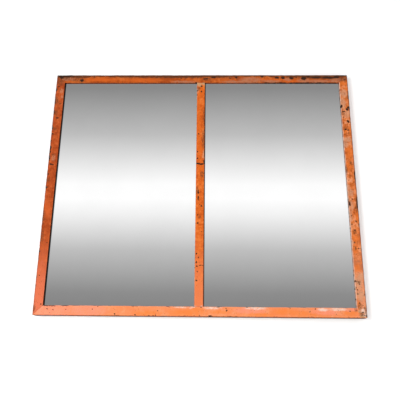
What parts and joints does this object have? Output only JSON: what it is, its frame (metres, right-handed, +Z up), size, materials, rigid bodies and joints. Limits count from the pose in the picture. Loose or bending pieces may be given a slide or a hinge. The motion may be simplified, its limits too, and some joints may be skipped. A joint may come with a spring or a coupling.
{
  "type": "wall mirror",
  "caption": "Worn orange steel sash with a centre glazing bar, glazed with two upright mirror panes on a battened back that hangs from swinging D-rings.",
  "frame": {"origin": "middle of the bottom edge, half way between the front face and the wall", "axes": "+X to the right as seen from the front, +Y towards the wall, +Z up; the mirror faces -Y"},
  "size_m": [0.98, 0.033, 0.796],
  "materials": {
    "orange_paint": "old orange enamel on rolled steel, faded, chipped and rusted along the top",
    "mirror_glass": "silvered 4 mm float glass with ground arrisses",
    "glazing_tape": "black closed-cell foam tape",
    "block_rubber": "moulded rubber",
    "hardboard": "brown hardboard, smooth side out",
    "pine": "planed pine",
    "zinc_steel": "zinc-plated steel",
    "bumper_rubber": "soft matt rubber"
  },
  "bodies": {
    "frame": {"bottom_rail": "orange_paint", "bottom_rail_screw_1": "zinc_steel", "bottom_rail_screw_2": "zinc_steel", "bottom_rail_screw_3": "zinc_steel", "bottom_rail_screw_4": "zinc_steel", "centre_glazing_bar": "orange_paint", "glazing_bar_screw_1": "zinc_steel", "glazing_bar_screw_2": "zinc_steel", "glazing_bar_screw_3": "zinc_steel", "left_backing_board": "hardboard", "left_bottom_batten": "pine", "left_glazing_tape": "glazing_tape", "left_hanger_screw_1": "zinc_steel", "left_hanger_screw_2": "zinc_steel", "left_hanger_strap": "zinc_steel", "left_left_batten": "pine", "left_mirror_pane": "mirror_glass", "left_right_batten": "pine", "left_setting_block_left": "block_rubber", "left_setting_block_right": "block_rubber", "left_stile": "orange_paint", "left_stile_screw_1": "zinc_steel", "left_stile_screw_2": "zinc_steel", "left_stile_screw_3": "zinc_steel", "left_top_batten": "pine", "left_wall_bumper": "bumper_rubber", "right_backing_board": "hardboard", "right_bottom_batten": "pine", "right_glazing_tape": "glazing_tape", "right_hanger_screw_1": "zinc_steel", "right_hanger_screw_2": "zinc_steel", "right_hanger_strap": "zinc_steel", "right_left_batten": "pine", "right_mirror_pane": "mirror_glass", "right_right_batten": "pine", "right_setting_block_left": "block_rubber", "right_setting_block_right": "block_rubber", "right_stile": "orange_paint", "right_stile_screw_1": "zinc_steel", "right_stile_screw_2": "zinc_steel", "right_stile_screw_3": "zinc_steel", "right_top_batten": "pine", "right_wall_bumper": "bumper_rubber", "top_rail": "orange_paint", "top_rail_screw_1": "zinc_steel", "top_rail_screw_2": "zinc_steel", "top_rail_screw_3": "zinc_steel", "top_rail_screw_4": "zinc_steel"},
    "left_ring": {"left_hanger_ring": "zinc_steel"},
    "right_ring": {"right_hanger_ring": "zinc_steel"}
  },
  "joints": [
    {"name": "left_ring_swing", "type": "hinge", "parent": "frame", "child": "left_ring", "pos_m": [-0.4767, 0.0126, 0.606], "axis": [1, 0, 0], "range_deg": [0, 180]},
    {"name": "right_ring_swing", "type": "hinge", "parent": "frame", "child": "right_ring", "pos_m": [0.4767, 0.0126, 0.606], "axis": [1, 0, 0], "range_deg": [0, 180]}
  ]
}
